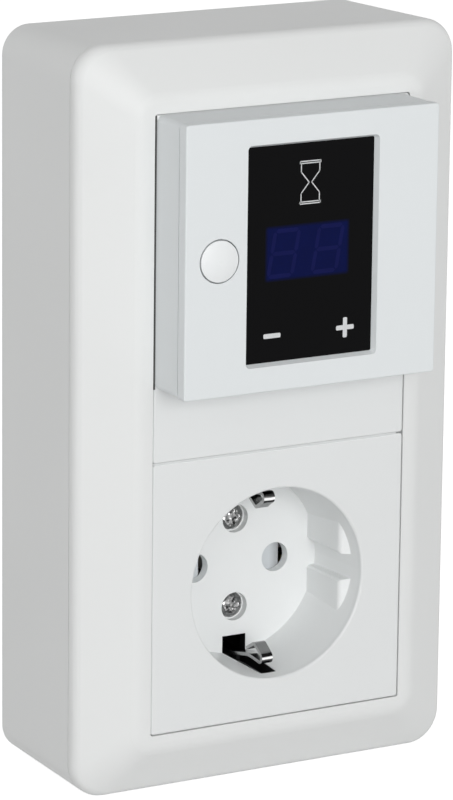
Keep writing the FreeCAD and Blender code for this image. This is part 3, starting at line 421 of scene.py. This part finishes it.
# Finishes of single nodes, on the same slots, some of them with painted light, shade and reflections
OWN_FINISHES_AND_PAINTED_LIGHT = {
    "socket_face_plate": plastic("socket_plate_white", SOCKET_WHITE, 0.40, gloss=0.4,
                                 patches=[(inside_recess, RECESS_PAINTED_LIGHT), (clip_slots, DEEP_SHADOW)]),
    "shutter": plastic("shutter_grey", SHUTTER_GREY, 0.4, patches=[(shutter_shade, SHUTTER_EDGE_PAINTED_SHADE)]),
    "timer_insert_plate": plastic("insert_plate_white", SOCKET_WHITE, 0.40, gloss=0.4,
                                  patches=[(shaded_edge, GAP_SHADOW)]),
    "earth_clip_upper": EARTH_CLIP_NICKEL,
    "earth_clip_lower": EARTH_CLIP_NICKEL,
    "push_button": plastic("button_white", BUTTON_WHITE, 0.42, gloss=0.4),
}

for row in frame["record"]["subparts"]:
    node = frame["nodes"][row["node"]]
    node.data.materials.clear()
    node.data.materials.append(OWN_FINISHES_AND_PAINTED_LIGHT.get(row["node"], FINISHES[row["material_slot"]]))


# Meshes

def mesh_object(name, mesh, material):
    """Makes an object of a finished bmesh."""
    bmesh.ops.recalc_face_normals(mesh, faces=mesh.faces)
    data = bpy.data.meshes.new(name)
    mesh.to_mesh(data)
    mesh.free()
    data.materials.append(material)
    made = bpy.data.objects.new(name, data)
    bpy.context.collection.objects.link(made)
    return made


def side_faces(mesh, first, second):
    """Joins two equal rings of points with a face for each pair of neighbours."""
    count = len(first)
    for start in range(count):
        end = (start + 1) % count
        mesh.faces.new((first[start], first[end], second[end], second[start]))


# Marks and display on the window's front, in millimetres

WINDOW_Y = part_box("display_window")[0][1] / MM
PRINT_HEIGHT = 0.03
GLOW_HEIGHT = 0.012
PRINT_SINK = 0.002
PRINT_BEVEL = 0.01


class Print:
    """Thin raised shapes on the window's front, collected into one mesh."""

    def __init__(self, name, height, base=0.0):
        self.name = name
        self.mesh = bmesh.new()
        self.back_y = WINDOW_Y - base + PRINT_SINK
        self.front_y = WINDOW_Y - base - height

    def patch(self, outline):
        """A flat plate with the given (x, z) outline, a little smaller at its front."""
        middle = sum((Vector(point) for point in outline), Vector((0, 0))) / len(outline)
        rings = []
        for y, inset in ((self.back_y, 0.0), (self.front_y, PRINT_BEVEL)):
            ring = []
            for point in outline:
                inward = middle - Vector(point)
                place = Vector(point) + inward.normalized() * min(inset, inward.length / 2)
                ring.append(self.mesh.verts.new((place.x * MM, y * MM, place.y * MM)))
            rings.append(ring)
        self.mesh.faces.new(rings[1])
        side_faces(self.mesh, *rings)

    def bars(self, centre, length, width, corner, arms=4, round_steps=3):
        """A minus with 2 arms or a cross with 4, with rounded corners."""
        half = width / 2
        outline = []
        for arm in range(arms):
            heading = 2 * math.pi * arm / arms
            out = Vector((math.cos(heading), math.sin(heading)))
            side = Vector((-out.y, out.x))
            for turn in (-1, 1):
                pivot = Vector(centre) + out * (length / 2 - corner) + side * turn * (half - corner)
                for step in range(round_steps + 1):
                    angle = heading + math.pi / 2 * (step / round_steps + (turn - 1) / 2)
                    outline.append(pivot + Vector((math.cos(angle), math.sin(angle))) * corner)
            if arms == 4:
                outline.append(Vector(centre) + (out + side) * half)
        self.patch(outline)

    def stroke(self, start, end, width, round_steps=5):
        """A straight line with half-round ends."""
        start, end = Vector(start), Vector(end)
        heading = math.atan2(end.y - start.y, end.x - start.x)
        outline = []
        for centre, first in ((end, heading - math.pi / 2), (start, heading + math.pi / 2)):
            for step in range(round_steps + 1):
                angle = first + math.pi * step / round_steps
                outline.append(centre + Vector((math.cos(angle), math.sin(angle))) * width / 2)
        self.patch(outline)

    def line(self, points, width):
        for start, end in zip(points, points[1:]):
            self.stroke(start, end, width)

    def done(self, material):
        piece = mesh_object(self.name, self.mesh, material)
        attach(piece, "housing")


INK_SCALE = 4000.0
INK_TINTS = (0.85, 1.0)
INK_MATT_SCALE = 900.0
INK_ROUGH = (0.45, 0.6)
INK_GRAIN_SCALE = 6000.0
INK_GRAIN = 3 * MICRON


def printed_ink(name, colour):
    """Screen print: slightly uneven ink that lies matt on the gloss."""
    nodes = Nodes(name)
    uneven = nodes.blend(nodes.patchy(INK_SCALE), *tints(colour, INK_TINTS))
    nodes.surface(uneven, nodes.spread(nodes.noise(INK_MATT_SCALE), *INK_ROUGH))
    nodes.bump(nodes.noise(INK_GRAIN_SCALE), INK_GRAIN)
    return nodes.material


HOURGLASS_X = -0.12
HOURGLASS_Z = 49.4
HOURGLASS_HALF_HEIGHT = 4.25
HOURGLASS_CAP_HALF = 2.35
HOURGLASS_CAP_GAP = 0.4
HOURGLASS_SIDE_HALF = 2.1
HOURGLASS_SHOULDER = 2.15
HOURGLASS_WAIST = 0.28
HOURGLASS_LINE = 0.21

TOUCH_MARK_X = 8.4
TOUCH_MARK_Z = 19.28
MINUS_LENGTH = 3.9
PLUS_LENGTH = 4.1
MARK_WIDTH = 0.95
MARK_CORNER = 0.25


def hourglass_mark(material):
    mark = Print("hourglass_mark", PRINT_HEIGHT)
    for up in (1, -1):
        cap_z = HOURGLASS_Z + up * HOURGLASS_HALF_HEIGHT
        under_z = cap_z - up * HOURGLASS_CAP_GAP
        shoulder_z = HOURGLASS_Z + up * HOURGLASS_SHOULDER
        ends = [HOURGLASS_X - HOURGLASS_CAP_HALF, HOURGLASS_X + HOURGLASS_CAP_HALF]
        for z in (cap_z, under_z):
            mark.stroke((ends[0], z), (ends[1], z), HOURGLASS_LINE)
        for x in ends:
            mark.stroke((x, cap_z), (x, under_z), HOURGLASS_LINE)
        for side in (-1, 1):
            side_x = HOURGLASS_X + side * HOURGLASS_SIDE_HALF
            waist_x = HOURGLASS_X + side * HOURGLASS_WAIST
            mark.line([(side_x, under_z), (side_x, shoulder_z), (waist_x, HOURGLASS_Z)], HOURGLASS_LINE)
    mark.done(material)


def touch_marks(material):
    minus = Print("minus_mark", PRINT_HEIGHT)
    minus.bars((-TOUCH_MARK_X, TOUCH_MARK_Z), MINUS_LENGTH, MARK_WIDTH, MARK_CORNER, arms=2)
    minus.done(material)
    plus = Print("plus_mark", PRINT_HEIGHT)
    plus.bars((TOUCH_MARK_X, TOUCH_MARK_Z), PLUS_LENGTH, MARK_WIDTH, MARK_CORNER)
    plus.done(material)


ink = printed_ink("print_grey", PRINT_GREY)
hourglass_mark(ink)
touch_marks(ink)


# Display: lengths in millimetres, and texture scales in features per metre

GLOW_X0, GLOW_X1 = -10.3, 9.15
GLOW_Z0, GLOW_Z1 = 30.05, 41.4
GLOW_FADE = 0.8
GLOW_BLUE = (0.0010, 0.0040, 0.0520)
GLOW_PATCH_SCALE = 300.0
GLOW_PATCH_TINTS = (0.9, 1.1)
GLOW_POLISH_SCALE = 60.0
GLOW_ROUGH = (0.1, 0.16)
SEGMENT_BLUE = (0.0048, 0.0072, 0.0680)
SEGMENT_WIDTH = 0.85
SEGMENT_GAP = 0.12
DIGIT_WIDTH = 5.4
DIGIT_HEIGHT = 9.0
DIGIT_SLANT = math.tan(math.radians(10.0))
DIGIT_CENTRES = {"digit_left": (-5.96, 35.7), "digit_right": (4.1, 35.75)}


def display_light(name, colour):
    """Faintly lit blue behind smoked plastic, fading out at the display's edges."""
    nodes = Nodes(name)
    place = nodes.parts(nodes.place)
    inside = 1.0
    for axis, low, high in (("X", GLOW_X0, GLOW_X1), ("Z", GLOW_Z0, GLOW_Z1)):
        rise = nodes.spread(place[axis], 0.0, 1.0, low * MM, (low + GLOW_FADE) * MM)
        fall = nodes.spread(place[axis], 1.0, 0.0, (high - GLOW_FADE) * MM, high * MM)
        inside = nodes.both(inside, nodes.both(rise, fall))
    lit = nodes.blend(nodes.patchy(GLOW_PATCH_SCALE), *tints(colour, GLOW_PATCH_TINTS))
    shown = nodes.blend(inside, rgba(WINDOW_BLACK), lit)
    nodes.surface(shown, nodes.spread(nodes.noise(GLOW_POLISH_SCALE), *GLOW_ROUGH), WINDOW_GLOSS)
    return nodes.material


def display_pane():
    pane = Print("display_pane", GLOW_HEIGHT)
    pane.patch([(GLOW_X0, GLOW_Z0), (GLOW_X1, GLOW_Z0), (GLOW_X1, GLOW_Z1), (GLOW_X0, GLOW_Z1)])
    pane.done(display_light("display_blue", GLOW_BLUE))


def segment(digit, centre, start, end):
    """One bar of a seven segment digit, pointed at both ends and slanted."""
    start, end = Vector(start), Vector(end)
    along = (end - start).normalized()
    across = Vector((-along.y, along.x)) * SEGMENT_WIDTH / 2
    start += along * SEGMENT_GAP
    end -= along * SEGMENT_GAP
    shoulder = along * SEGMENT_WIDTH / 2
    outline = [start, start + shoulder - across, end - shoulder - across, end,
               end - shoulder + across, start + shoulder + across]
    digit.patch([(centre[0] + point.x + point.y * DIGIT_SLANT, centre[1] + point.y) for point in outline])


def display_digit(name, centre, material):
    digit = Print(name, GLOW_HEIGHT, base=GLOW_HEIGHT)
    half_x = DIGIT_WIDTH / 2
    half_z = DIGIT_HEIGHT / 2
    for z in (-half_z, 0.0, half_z):
        segment(digit, centre, (-half_x, z), (half_x, z))
    for x in (-half_x, half_x):
        segment(digit, centre, (x, -half_z), (x, 0.0))
        segment(digit, centre, (x, 0.0), (x, half_z))
    digit.done(material)


display_pane()
segment_light = display_light("segment_blue", SEGMENT_BLUE)
for digit_name, digit_centre in DIGIT_CENTRES.items():
    display_digit(digit_name, digit_centre, segment_light)


# Seam between the two insert plates: moulded edges that nearly close it, in millimetres

SEAM_X0, SEAM_X1 = -29.0, 27.6
SEAM_Z0, SEAM_Z1 = -7.11, -6.89
SEAM_FRONT_Y = -39.84
SEAM_BACK_Y = -38.6
SEAM_ROUND = 0.05


def seam_edges():
    """A strip with a rounded front that runs along the seam."""
    shoulder_y = SEAM_FRONT_Y + SEAM_ROUND
    outline = [(SEAM_BACK_Y, SEAM_Z0), (shoulder_y, SEAM_Z0), (SEAM_FRONT_Y, SEAM_Z0 + SEAM_ROUND),
               (SEAM_FRONT_Y, SEAM_Z1 - SEAM_ROUND), (shoulder_y, SEAM_Z1), (SEAM_BACK_Y, SEAM_Z1)]
    mesh = bmesh.new()
    ends = [[mesh.verts.new((x * MM, y * MM, z * MM)) for y, z in outline] for x in (SEAM_X0, SEAM_X1)]
    side_faces(mesh, *ends)
    for end in ends:
        mesh.faces.new(end)
    piece = mesh_object("seam_edges", mesh, FINISHES["socket_white"])
    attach(piece, "housing")


seam_edges()


# Stage and light: lengths in metres

FLOOR_HEIGHT = -0.0767
FLOOR_SIZE = 8.0
FLOOR_GREY = 0.6
FLOOR_SEEN_GREY = 0.55
FLOOR_GRAIN_SCALE = 80.0
FLOOR_GRAIN_TINTS = (0.98, 1.0)
FLOOR_ROUGH = (0.8, 0.9)
FLOOR_LIFT = 0.86
WORLD_SIDE_LEVEL = 0.845
WORLD_TOP_LEVEL = 0.205
LAMP_DISTANCE = 1.8
LAMP_SIZE = 1.0

# Lamps: azimuth and elevation in degrees, and watts
LAMPS = {
    "front": (-10, 10, 14.6),
    "front_left": (-50, 12, 2.3),
    "left": (-88, 8, 2.3),
}


def floor_material():
    """Matt pale floor that is lifted to white where the background is seen."""
    nodes = Nodes("floor_white")
    grain = nodes.patchy(FLOOR_GRAIN_SCALE)
    unlit = nodes.blend(grain, *tints(grey(FLOOR_GREY), FLOOR_GRAIN_TINTS))
    shown = nodes.blend(grain, *tints(grey(FLOOR_SEEN_GREY), FLOOR_GRAIN_TINTS))
    seen = nodes.seen_directly()
    roughness = nodes.spread(nodes.noise(FLOOR_GRAIN_SCALE), *FLOOR_ROUGH)
    nodes.surface(nodes.blend(seen, unlit, shown), roughness, gloss=0.0)
    nodes.shader.inputs["Emission Color"].default_value = (1, 1, 1, 1)
    nodes.feed(nodes.shader.inputs["Emission Strength"], nodes.maths("MULTIPLY", seen, FLOOR_LIFT))
    return nodes.material


def add_floor():
    half = FLOOR_SIZE / 2
    corners = [(-half, -half, 0), (half, -half, 0), (half, half, 0), (-half, half, 0)]
    data = bpy.data.meshes.new("floor")
    data.from_pydata(corners, [], [(0, 1, 2, 3)])
    data.materials.append(floor_material())
    floor = bpy.data.objects.new("floor", data)
    floor.location.z = FLOOR_HEIGHT
    bpy.context.collection.objects.link(floor)


def add_softbox(name, azimuth, elevation, power):
    data = bpy.data.lights.new(name, "AREA")
    data.shape = "DISK"
    data.size = LAMP_SIZE
    data.energy = power
    lamp = bpy.data.objects.new(name, data)
    turn, rise = math.radians(azimuth), math.radians(elevation)
    place = Vector((math.sin(turn) * math.cos(rise), -math.cos(turn) * math.cos(rise), math.sin(rise)))
    lamp.location = place * LAMP_DISTANCE
    lamp.rotation_euler = (-place).to_track_quat("-Z", "Y").to_euler()
    bpy.context.collection.objects.link(lamp)


def add_world():
    """Soft light, weaker from above, and plain white where the background is seen."""
    world = bpy.data.worlds.new("studio")
    world.use_nodes = True
    nodes = Tree(world.node_tree)
    direction = nodes.parts(nodes.add("ShaderNodeTexCoord").outputs["Generated"])
    level = nodes.spread(direction["Z"], WORLD_SIDE_LEVEL, WORLD_TOP_LEVEL, 0.0, 1.0)
    strength = nodes.spread(nodes.seen_directly(), level, 1.0, 0.0, 1.0)
    background = world.node_tree.nodes["Background"]
    background.inputs["Color"].default_value = (1, 1, 1, 1)
    nodes.feed(background.inputs["Strength"], strength)
    bpy.context.scene.world = world


add_world()
add_floor()
for lamp_name, (lamp_azimuth, lamp_elevation, lamp_power) in LAMPS.items():
    add_softbox(lamp_name, lamp_azimuth, lamp_elevation, lamp_power)
